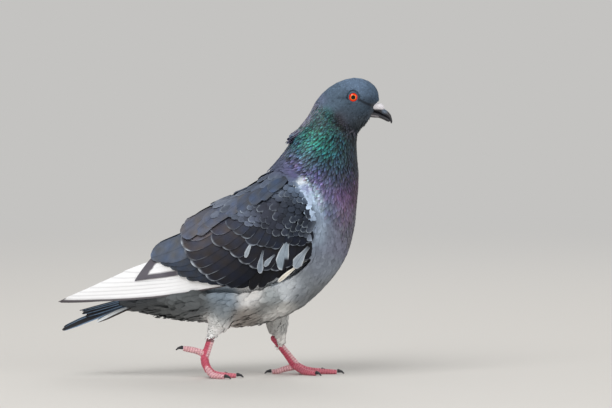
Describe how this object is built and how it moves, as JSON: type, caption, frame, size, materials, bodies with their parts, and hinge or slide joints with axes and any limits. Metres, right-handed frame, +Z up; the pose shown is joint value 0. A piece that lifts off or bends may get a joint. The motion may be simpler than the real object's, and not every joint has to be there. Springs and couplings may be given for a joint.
{
  "type": "pigeon",
  "caption": "Life-size still model of a feral pigeon walking, one foot flat and the other pushing off, with wings folded and tail closed.",
  "frame": {"origin": "on the floor, under the middle of the bird's overall box", "axes": "+X towards the bill, +Y towards the bird's left side, +Z up"},
  "size_m": [0.276, 0.1062, 0.2452],
  "materials": {
    "body_plumage": "matt small feathers, blue-grey",
    "neck_plumage": "glossy small feathers, green turning to purple",
    "head_plumage": "matt very small feathers, slate",
    "wing_plumage": "flat overlapping feathers, blackish slate with pale rims",
    "white_plumage": "long smooth feathers, white",
    "tail_plumage": "long smooth feathers, dark slate",
    "thigh_plumage": "loose soft feathers, white and pale grey",
    "foot_skin": "scaly skin, pinkish red",
    "claw_horn": "horn, blackish",
    "bill_horn": "horn, dark grey",
    "cere": "powdery, white",
    "eye": "wet, orange-red iris with a black pupil"
  },
  "bodies": {
    "root": {"eye_right": "eye", "eye_left": "eye", "trunk": "body_plumage", "neck": "neck_plumage", "head": "head_plumage", "cere": "cere", "bill_upper": "bill_horn", "bill_lower": "bill_horn", "tail": "tail_plumage", "wing_right": "wing_plumage", "primaries_right": "white_plumage", "tarsus_right": "foot_skin", "thigh_right": "thigh_plumage", "toe_right_3": "foot_skin", "claw_right_3": "claw_horn", "toe_right_1": "foot_skin", "claw_right_1": "claw_horn", "toe_right_2": "foot_skin", "claw_right_2": "claw_horn", "toe_right_4": "foot_skin", "claw_right_4": "claw_horn", "wing_left": "wing_plumage", "primaries_left": "white_plumage", "tarsus_left": "foot_skin", "thigh_left": "thigh_plumage", "toe_left_3": "foot_skin", "claw_left_3": "claw_horn", "toe_left_1": "foot_skin", "claw_left_1": "claw_horn", "toe_left_2": "foot_skin", "claw_left_2": "claw_horn", "toe_left_4": "foot_skin", "claw_left_4": "claw_horn"}
  },
  "joints": []
}
